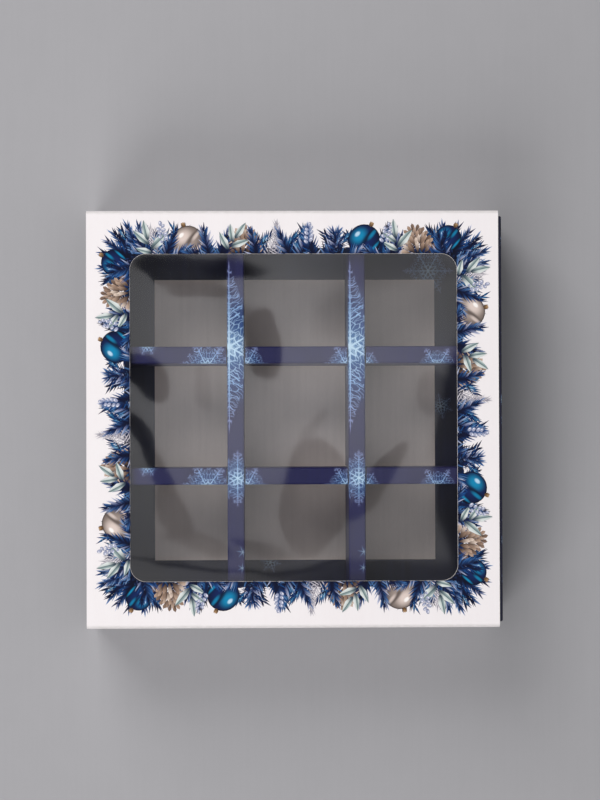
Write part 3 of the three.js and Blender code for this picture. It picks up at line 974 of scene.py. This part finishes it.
# %% [markdown]
# A fir sprig is a stem with needles on both sides, wide apart at its foot and closing in at its tip, over a
# dark shade that keeps the gaps between them deep. Each needle gets its own tone, which picks how frosted it
# is. One side of the sprig is a little lighter, as if lit from there.

# %% Draw a fir sprig
# Width and length of a needle, and width of the stem and of the shade, in mm.
FIR, FROST_TWIG = (0.74, 5.4, 0.6, 4.2), (0.444, 4.633, 0.36, 0.544)
NEEDLES = 21
STEM_BOW = 0.15
SPREAD_FOOT, SPREAD_TIP, SPREAD_STRAY = 50, 14, 6
TIP_LENGTH = 0.65
NEEDLE_LENGTHS, NEEDLE_LIFTS = (0.8, 1.15), (0.2, 0.7)
SHADE_DEPTH, SHADE_THICKNESS = 0.35, 0.2
LIT_SIDE, TONE_STRAY = 0.10, 0.24
FROSTED, FROSTING = 0.3, 0.42
DARKEST, LIGHTEST = 0.1, 0.9
DRAW_SEED = 11
draw = random.Random(DRAW_SEED)


def kept_tone(tone):
    return min(max(tone, DARKEST), LIGHTEST)


def between(first, last, share):
    return first + (last - first) * share


def side_of(count):
    return 1 if count % 2 else -1


def fir_sprig(x, y, z, lean, length, tone, make=FIR):
    """The placings of a sprig's shade, stem and needles. Tone 0 is dark navy, and 1 is frosted white."""
    needle_width, needle_length, stem_width, shade_width = make
    sprig = placing(x, y, z, lean)
    bow = draw.uniform(-STEM_BOW, STEM_BOW) * length
    shade = sprig @ placing(0, 0, 0, 0, shade_width, length, SHADE_THICKNESS)
    stem = sprig @ placing(0, 0, 0, 0, stem_width, length)
    placings = [(shade, kept_tone(tone - SHADE_DEPTH)), (stem, DARKEST)]
    for count in range(NEEDLES):
        share = count / (NEEDLES - 1)
        side = side_of(count)
        spread = side * between(SPREAD_FOOT, SPREAD_TIP, share) + draw.uniform(-SPREAD_STRAY, SPREAD_STRAY)
        reach = needle_length * between(1, TIP_LENGTH, share) * draw.uniform(*NEEDLE_LENGTHS)
        frost = FROSTING if draw.random() < FROSTED else 0
        needle_tone = tone - LIT_SIDE * side + draw.uniform(-TONE_STRAY, TONE_STRAY) + frost
        lift = RIDGE * draw.uniform(*NEEDLE_LIFTS)
        spot = placing(bow * share ** 2, share * length, lift, spread, needle_width, reach)
        placings.append((sprig @ spot, kept_tone(needle_tone)))
    return placings


print("a sprig has", NEEDLES, "needles")

# %% [markdown]
# ## One side of the border
# The side at the back is laid out first, with x along the window's edge and y outwards from it. Dark sprigs
# come first, then the balls and cones, then lighter sprigs that tuck them in, and leaves and berries on
# top. Each layer has its own height in the ink, so nothing flickers.

# %% Lay the dark sprigs and frosted twigs of one side
LAYER = {"back": 0.010, "things": 0.036, "front": 0.058, "top": 0.086}
SIDE_HALF = window_half / MM
SPRIG_HEIGHTS = 8
BACK_SPRIGS, BACK_STEP = 26, 0.0025
BACK_SPACING, BACK_FEET = (0.2, 0.8), (-2.5, -0.5)
BACK_LEANS, BACK_LENGTHS, BACK_TONES = (8, 44), (7.4, 10.6), (0.1, 0.32)
# Along the side in mm, lean in degrees, and length in mm.
FROST_TWIGS = ((-9.0, 22, 11.0), (-5.0, -8, 11.0), (38.5, 26, 10.0), (-47.5, -10, 10.0))
FROST_FOOT, FROST_STEP, FROST_TONE = -1, 0.006, 0.7
back_needles, frost_needles = [], []
for count in range(BACK_SPRIGS):
    x = -SIDE_HALF + (count + draw.uniform(*BACK_SPACING)) * 2 * SIDE_HALF / BACK_SPRIGS
    z = LAYER["back"] + count % SPRIG_HEIGHTS * BACK_STEP
    lean = draw.uniform(*BACK_LEANS) * side_of(count)
    length = draw.uniform(*BACK_LENGTHS)
    y = draw.uniform(*BACK_FEET)
    back_needles += fir_sprig(x, y, z, lean, length, draw.uniform(*BACK_TONES))
for count, (x, lean, length) in enumerate(FROST_TWIGS):
    z = LAYER["things"] + count % 2 * FROST_STEP
    frost_needles += fir_sprig(x, FROST_FOOT, z, lean, length, FROST_TONE, FROST_TWIG)
print("needles in the dark sprigs and frosted twigs:", len(back_needles), len(frost_needles))

# %% Lay the balls with their caps
# Along the side, out from the window, radius in mm, and the lean of the cap in degrees.
BLUE_BALLS = ((25.0, 4.6, 5.7, 24), (54.6, 5.4, 4.6, 30))
CHAMPAGNE_BALLS = ((-37.0, 4.3, 5.6, -16),)
CAP_WIDTH, CAP_LENGTH = 1.1, 1.9
CAP_SEAT, CAP_LIFT, CAP_STEP = 0.93, 0.008, 0.002
# Twist in degrees, and tone.
CAP_RIBS = ((-17.19, 0.3), (17.19, 0.45), (0, 0.7))


def ball(x, y, radius):
    return placing(x, y - radius, LAYER["things"], 0, 2 * radius, 2 * radius), MID_TONE


blue_balls = [ball(*place[:3]) for place in BLUE_BALLS]
champagne_balls = [ball(*place[:3]) for place in CHAMPAGNE_BALLS]
caps = []
for x, y, radius, lean in BLUE_BALLS + CHAMPAGNE_BALLS:
    seat = placing(x, y, LAYER["things"] + CAP_LIFT, lean)
    for twist, tone in CAP_RIBS:
        rib = placing(0, CAP_SEAT * radius, CAP_STEP * tone, twist, CAP_WIDTH, CAP_LENGTH)
        caps.append((seat @ rib, tone))
print("balls and cap ribs on one side:", len(blue_balls) + len(champagne_balls), len(caps))

# %% [markdown]
# A cone lies on its side with its tip outwards. Its scales stand in rows, each row covering the feet of the
# next one towards the tip, so the rows are printed from the tip down.

# %% Lay the cones
# Along the side, out from the window in mm, and lean in degrees.
CONES = ((-18.0, -0.6, 8), (44.0, -0.4, -10))
CONE_ROWS, CONE_STEP, CONE_BULGE = 6, 1.25, 0.8
LONGEST_ROW = 7
FOOT_HALF, TIP_HALF, CONE_CURVE = 3.3, 0.8, 1.5
FAN_FOOT, FAN_TIP, FAN_STRAY = 74, 40, 6
ROW_LIFT, SCALE_LIFT = 0.0028, 0.001
CONE_LIT_SIDE, SCALE_TONE_STRAY = 0.2, 0.4
SCALE_WIDTH, SCALE_LENGTH = 1.4, 4.2
cone_scales = []
for x, y, lean in CONES:
    cone = placing(x, y, LAYER["things"], lean)
    for row in reversed(range(CONE_ROWS)):
        share = row / (CONE_ROWS - 1)
        in_row = LONGEST_ROW - row // 2
        half_row = between(FOOT_HALF, TIP_HALF, share ** CONE_CURVE)
        for count in range(in_row):
            across = 2 * count / (in_row - 1) - 1
            fan = across * between(FAN_FOOT, FAN_TIP, share) + draw.uniform(-FAN_STRAY, FAN_STRAY)
            tone = MID_TONE - CONE_LIT_SIDE * across + draw.uniform(-SCALE_TONE_STRAY, SCALE_TONE_STRAY)
            up = row * CONE_STEP + CONE_BULGE * (1 - abs(across))
            height = (CONE_ROWS - row) * ROW_LIFT + count % 2 * SCALE_LIFT
            spot = placing(across * half_row, up, height, fan, SCALE_WIDTH, SCALE_LENGTH)
            cone_scales.append((cone @ spot, kept_tone(tone)))
print("scales on the cones of one side:", len(cone_scales))

# %% Lay the light sprigs
# Along the side in mm, lean in degrees, length in mm, and tone.
FRONT_SPRIGS = (
    (-55.0, 14, 9.5, 0.44), (-50.5, -30, 9.0, 0.34), (-45.5, 24, 9.0, 0.50), (-42.5, 62, 6.0, 0.42),
    (-31.5, -64, 5.5, 0.34), (-29.5, -8, 10.0, 0.48), (-26.0, 22, 9.0, 0.36), (-12.5, -16, 9.5, 0.40),
    (-1.0, -20, 10.2, 0.52), (2.5, 14, 10.8, 0.66), (7.5, -18, 10.2, 0.44), (12.0, 24, 10.2, 0.54),
    (16.5, -22, 9.8, 0.36), (19.5, 62, 6.0, 0.36), (30.8, -64, 5.5, 0.48), (33.0, 30, 9.0, 0.40),
    (36.0, -8, 9.5, 0.52), (50.5, 16, 9.0, 0.46), (53.5, -14, 8.0, 0.34),
)
FRONT_FOOT, FRONT_STEP = -2, 0.0032
# Sprigs that fan out round the window's corner, from its arc: angle round the arc, length in mm, and tone.
CORNER_SPRIGS = ((4, 9.0, 0.44), (20, 9.5, 0.34), (36, 10.0, 0.50), (52, 10.5, 0.36), (68, 10.0, 0.46),
                 (84, 9.0, 0.40))
CORNER_GAP, CORNER_LIFT, CORNER_HEIGHTS, CORNER_STEP = 0.3, 0.004, 3, 0.006
front_needles, corner_needles = [], []
for count, (x, lean, length, tone) in enumerate(FRONT_SPRIGS):
    z = LAYER["front"] + count % SPRIG_HEIGHTS * FRONT_STEP
    front_needles += fir_sprig(x, FRONT_FOOT, z, lean, length, tone)
corner = WINDOW_CORNER / MM
for count, (lean, length, tone) in enumerate(CORNER_SPRIGS):
    x = SIDE_HALF - corner + (corner + CORNER_GAP) * math.sin(math.radians(lean))
    y = -corner + (corner + CORNER_GAP) * math.cos(math.radians(lean))
    z = LAYER["back"] + CORNER_LIFT + count % CORNER_HEIGHTS * CORNER_STEP
    corner_needles += fir_sprig(x, y, z, lean, length, tone)
print("needles in the light sprigs and at a corner:", len(front_needles), len(corner_needles))

# %% [markdown]
# Leaves sit left and right of a stem in turn, with one at its end. Snowberries sit the same way, closer.
# Their stems are printed with the light sprigs.

# %% Lay the leaves
# Along the side, out from the window in mm, and lean in degrees.
LEAF_TWIGS = ((-49.5, 0.0, -18), (37.0, 0.5, -10), (-23.0, 1.0, 30))
# Width and length in mm, and tone.
LEAF_STEM = (0.4, 5.0, 0.3)
# How far up the stem a leaf sits, its turn in degrees, and its length in mm.
LEAVES = ((0.1, -62, 6.6), (0.35, 48, 8.0), (0.7, -36, 7.4), (1.0, 12, 7.0))
LEAF_WIDTH, LEAF_STRAY, LEAF_LIFT, LEAF_STEP = 0.36, 16, 0.001, 0.0012
GROWTH = (0.85, 1.1)
leaves = []


def lay_stem(x, y, lean, stem):
    """Prints a stem, and gives its placing and its length."""
    twig = placing(x, y, LAYER["top"], lean)
    width, length, tone = stem
    front_needles.append((twig @ placing(0, 0, 0, 0, width, length), tone))
    return twig, length


for place in LEAF_TWIGS:
    twig, stem_length = lay_stem(*place, LEAF_STEM)
    for count, (share, turn, length) in enumerate(LEAVES):
        turn += draw.uniform(-LEAF_STRAY, LEAF_STRAY)
        length *= draw.uniform(*GROWTH)
        lift = LEAF_LIFT + LEAF_STEP * count
        spot = placing(0, share * stem_length, lift, turn, LEAF_WIDTH * length, length)
        leaves.append((twig @ spot, MID_TONE))
print("leaves on one side:", len(leaves))

# %% Lay the berries
# Along the side, out from the window in mm, and lean in degrees.
BERRY_TWIGS = ((5.0, 0.5, 4), (-45.0, 1.0, -10), (31.0, 1.0, 16))
# Width and length in mm, and tone.
BERRY_STEM = (0.5, 9.0, 0.62)
BERRIES, BERRIES_BEGIN = 9, 0.35
BERRY_WIDTH, BERRY_LENGTH, BERRY_ASIDE = 1.3, 1.9, 0.2
BERRY_SPREAD, BERRY_STRAY = 52, 10
LARGEST_BERRY, BERRY_TAPER = 1.15, 0.3
BERRY_LIFT, BERRY_STEP = 0.004, 0.001
berries = []
for place in BERRY_TWIGS:
    twig, stem_length = lay_stem(*place, BERRY_STEM)
    for count in range(BERRIES):
        share = between(BERRIES_BEGIN, 1, count / (BERRIES - 1))
        side = side_of(count) if count < BERRIES - 1 else 0
        turn = side * BERRY_SPREAD + draw.uniform(-BERRY_STRAY, BERRY_STRAY)
        size = draw.uniform(*GROWTH) * (LARGEST_BERRY - BERRY_TAPER * share)
        lift = BERRY_LIFT + count % 2 * BERRY_STEP
        spot = placing(BERRY_ASIDE * side, share * stem_length, lift, turn,
                       BERRY_WIDTH * size, BERRY_LENGTH * size)
        berries.append((twig @ spot, MID_TONE))
print("berries on one side:", len(berries))

# %% [markdown]
# ## Inks
# Each printed shape has a UV map of its own: up the needle, over the leaf or across the ball. The inks read
# it, so a needle changes colour to its tip and a ball gets its painted light wherever it lies. Balls and
# berries share one group that paints a broad light with a glint in it, soft strokes across it, a thin
# crescent on the far side and a dark rim.

# %% Painted ball group
BALL_COLOURS = ("Deep", "Body", "Crescent", "Glint")
# The colour of each stroke, its place and half size on the ball, its turn in degrees, its blur and strength.
PAINT_STROKES = (
    ("Body", 0.44, 0.56, 0.42, 0.42, 0, 0.55, 1.0), ("Crescent", 0.34, 0.64, 0.23, 0.17, 45, 0.70, 1.0),
    ("Glint", 0.29, 0.70, 0.09, 0.055, 45, 0.45, 1.0), ("Deep", 0.60, 0.60, 0.070, 0.30, -38, 0.60, 0.75),
    ("Crescent", 0.74, 0.68, 0.05, 0.17, -38, 0.70, 0.8),
    ("Crescent", 0.79, 0.27, 0.035, 0.20, -40, 0.80, 1.0),
)
WHOLE_BALL = (0.5, 0.5, 0.5, 0.5)
RIM_FADE = (1.0, 0.9)
painted_ball, given, result = new_group(
    "painted_ball", {"Vector": "Vector", **dict.fromkeys(BALL_COLOURS, "Color")}, {"Color": "Color"})
body = given["Deep"]
for colour, *oval, blur, strength in PAINT_STROKES:
    stroke = soft_oval(painted_ball, given["Vector"], oval, blur)
    body = mix(painted_ball, calc(painted_ball, "MULTIPLY", stroke, strength), body, given[colour])
rim = fade(painted_ball, off_oval(painted_ball, given["Vector"], *WHOLE_BALL), *RIM_FADE)
feed(painted_ball, result["Color"], mix(painted_ball, rim, body, given["Deep"]))
print("a ball is painted in", len(PAINT_STROKES), "strokes")

# %% Ball inks
INK_GLOSS, INK_ROUGHNESS = 0.2, 0.5


def ink_material(name, paint):
    material, tree, surface = new_material(name, INK_ROUGHNESS)
    surface["Specular IOR Level"].default_value = INK_GLOSS
    feed(tree, surface["Base Color"], paint(tree, add_node(tree, "UVMap", uv_map="OFBake").outputs["UV"]))
    return material


def ball_ink(name, *colours):
    """The ink of a ball in its four colours."""
    tints = {label: tint(*colour) for label, colour in zip(BALL_COLOURS, colours)}

    def paint(tree, laid):
        return use_group(tree, painted_ball, {"Vector": laid, **tints})["Color"]
    return ink_material(name, paint)


blue_ink = ball_ink("blue_ball_ink", (6, 10, 28), (17, 38, 88), (18, 134, 178), (182, 216, 238))
champagne_ink = ball_ink(
    "champagne_ball_ink", (62, 52, 50), (158, 144, 136), (222, 206, 198), (252, 248, 244))
berry_ink = ball_ink("silver_berry_ink", (92, 102, 140), (172, 178, 204), (226, 228, 240), (252, 252, 252))
print("ball inks:", blue_ink.name, champagne_ink.name, berry_ink.name)

# %% Needle, leaf, cone and cap inks
# Stops from the darkest copy of a shape to the lightest, at its root and at its tip.
NEEDLE_ROOTS = ((0.0, (5, 7, 22)), (0.5, (10, 16, 46)), (0.8, (21, 44, 90)), (1.0, (74, 82, 122)))
NEEDLE_TIPS = ((0.0, (12, 16, 44)), (0.3, (14, 39, 94)), (0.55, (28, 86, 152)), (0.75, (98, 142, 192)),
               (1.0, (226, 222, 238)))
TEAL_ROOTS = ((0.0, (8, 13, 38)), (0.35, (14, 45, 94)), (0.65, (34, 106, 154)), (1.0, (138, 184, 212)))
TEAL_TIPS = ((0.0, (6, 9, 30)), (0.4, (11, 22, 62)), (0.8, (24, 48, 104)), (1.0, (64, 92, 148)))
FROST_ROOTS = ((0.0, (112, 110, 124)), (1.0, (176, 172, 182)))
FROST_TIPS = ((0.0, (168, 165, 174)), (1.0, (226, 222, 226)))
SCALE_ROOTS = ((0.0, (30, 24, 28)), (1.0, (96, 74, 62)))
SCALE_TIPS = ((0.0, (104, 82, 70)), (0.5, (180, 152, 132)), (1.0, (240, 224, 210)))
CAP_ROOTS = ((0.0, (52, 36, 24)), (1.0, (118, 86, 58)))
CAP_TIPS = ((0.0, (104, 74, 48)), (1.0, (206, 170, 126)))
TIP_FADE = (0.95, 0.1)
# Across a leaf: its pale edge and shaded half, the vein in its middle, and its lit half.
LEAF_HALVES = ((0.16, (206, 214, 212)), (0.24, (158, 176, 174)), (0.46, (106, 128, 132)),
               (0.5, (60, 78, 90)), (0.54, (196, 208, 204)), (0.8, (222, 228, 226)))
LEAF_FOOT, LEAF_FADE = (44, 60, 76), (0.0, 0.45)


def root_to_tip(roots, tips):
    def paint(tree, laid):
        parts = split(tree, laid)
        up = fade(tree, parts["Y"], *TIP_FADE)
        return mix(tree, up, ramp(tree, parts["X"], roots), ramp(tree, parts["X"], tips))
    return paint


def leaf_paint(tree, laid):
    parts = split(tree, laid)
    halves = ramp(tree, parts["X"], LEAF_HALVES)
    return mix(tree, fade(tree, parts["Y"], *LEAF_FADE), halves, tint(*LEAF_FOOT))


needle_ink = ink_material("fir_needle_ink", root_to_tip(NEEDLE_ROOTS, NEEDLE_TIPS))
teal_ink = ink_material("teal_needle_ink", root_to_tip(TEAL_ROOTS, TEAL_TIPS))
frost_ink = ink_material("frosted_twig_ink", root_to_tip(FROST_ROOTS, FROST_TIPS))
cone_ink = ink_material("cone_scale_ink", root_to_tip(SCALE_ROOTS, SCALE_TIPS))
cap_ink = ink_material("brass_cap_ink", root_to_tip(CAP_ROOTS, CAP_TIPS))
leaf_ink = ink_material("frosted_leaf_ink", leaf_paint)
print("inks:", [ink.name for ink in (needle_ink, teal_ink, frost_ink, cone_ink, cap_ink, leaf_ink)])

# %% [markdown]
# The die cuts the print off at the window, so one side is bisected along the window's edge, less a hair of
# white board that shows there, and each cut shape is closed again. Then the side is turned about the
# window's middle into all four sides.

# %% Print the border
DIE_EDGE = 0.06
# Corners this near the cut count as on it.
CUT_PLAY = 0.1
on_board = Matrix.Translation((window_middle.x, window_middle.y, sleeve_top)) @ Matrix.Scale(MM, 4)
to_edge = Matrix.Translation((0, SIDE_HALF + DIE_EDGE, 0))
quarters = [on_board @ Matrix.Rotation(turn * math.pi / 2, 4, "Z") @ to_edge for turn in range(4)]


def print_border(name, shape, placings, ink, across=TONE_WIDTH, trim=True):
    """Prints one side, trims it at the window, and turns it into all four."""
    side = print_copies(name + "_side", shape, placings, across)
    if trim:
        edit(side)
        bpy.ops.mesh.select_all(action="SELECT")
        bpy.ops.mesh.bisect(plane_co=(0, 0, 0), plane_no=(0, 1, 0), clear_inner=True, threshold=CUT_PLAY)
        bpy.ops.mesh.select_all(action="SELECT")
        bpy.ops.mesh.fill_holes(sides=0)
        bpy.ops.mesh.normals_make_consistent(inside=False)
        leave_edit()
    border = print_copies(name, side, [(turn, MID_TONE) for turn in quarters], across=1.0)
    bpy.data.objects.remove(side)
    border.data.materials.append(ink)
    dress(border, "sleeve", "sleeve_board")
    return border


borders = [print_border("ink_dark_sprigs", needle, back_needles, teal_ink),
           print_border("ink_corner_sprigs", needle, corner_needles, needle_ink, trim=False),
           print_border("ink_frosted_twigs", needle, frost_needles, frost_ink),
           print_border("ink_light_sprigs", needle, front_needles, needle_ink),
           print_border("ink_blue_balls", disc, blue_balls, blue_ink, across=1.0),
           print_border("ink_champagne_balls", disc, champagne_balls, champagne_ink, across=1.0),
           print_border("ink_caps", leaf, caps, cap_ink),
           print_border("ink_berries", disc, berries, berry_ink, across=1.0),
           print_border("ink_leaves", leaf, leaves, leaf_ink, across=1.0),
           print_border("ink_cones", scale, cone_scales, cone_ink)]
for shape in shapes:
    bpy.data.objects.remove(shape)
print("border faces:", sum(len(border.data.polygons) for border in borders))

# %% [markdown]
# Along the window, between the feet of the sprigs, the print is a dark navy ground. It is a flat ring: a
# square with round corners, inset, with its middle taken out.

# %% Print the dark ground
GROUND_WIDTH = 2.0 * MM
GROUND_HEIGHT = 0.006 * MM
ground_edge = DIE_EDGE * MM + GROUND_WIDTH
ground_size = 2 * (window_half + ground_edge)
ground_place = (window_middle.x, window_middle.y, sleeve_top + GROUND_HEIGHT)
ground = new_plane("ink_dark_ground", ground_place, ground_size, ground_size)
edit(ground)
pick("VERT", lambda corner: True)
bpy.ops.mesh.bevel(offset=WINDOW_CORNER + ground_edge, segments=CORNER_STEPS, affect="VERTICES")
pick("FACE", lambda face: True)
bpy.ops.mesh.inset(thickness=GROUND_WIDTH)
bpy.ops.mesh.delete(type="FACE")
leave_edit()
apply_modifier(ground, "SOLIDIFY", thickness=GROUND_HEIGHT, offset=-1)
ground_ink = board("dark_ground_ink", (10, 15, 30), (22, 32, 58), roughness=INK_ROUGHNESS, depth=0.004)
ground_ink.node_tree.nodes["Principled BSDF"].inputs["Specular IOR Level"].default_value = INK_GLOSS
ground.data.materials.append(ground_ink)
dress(ground, "sleeve", "sleeve_board")
print("dark ground:", len(ground.data.polygons), "faces")
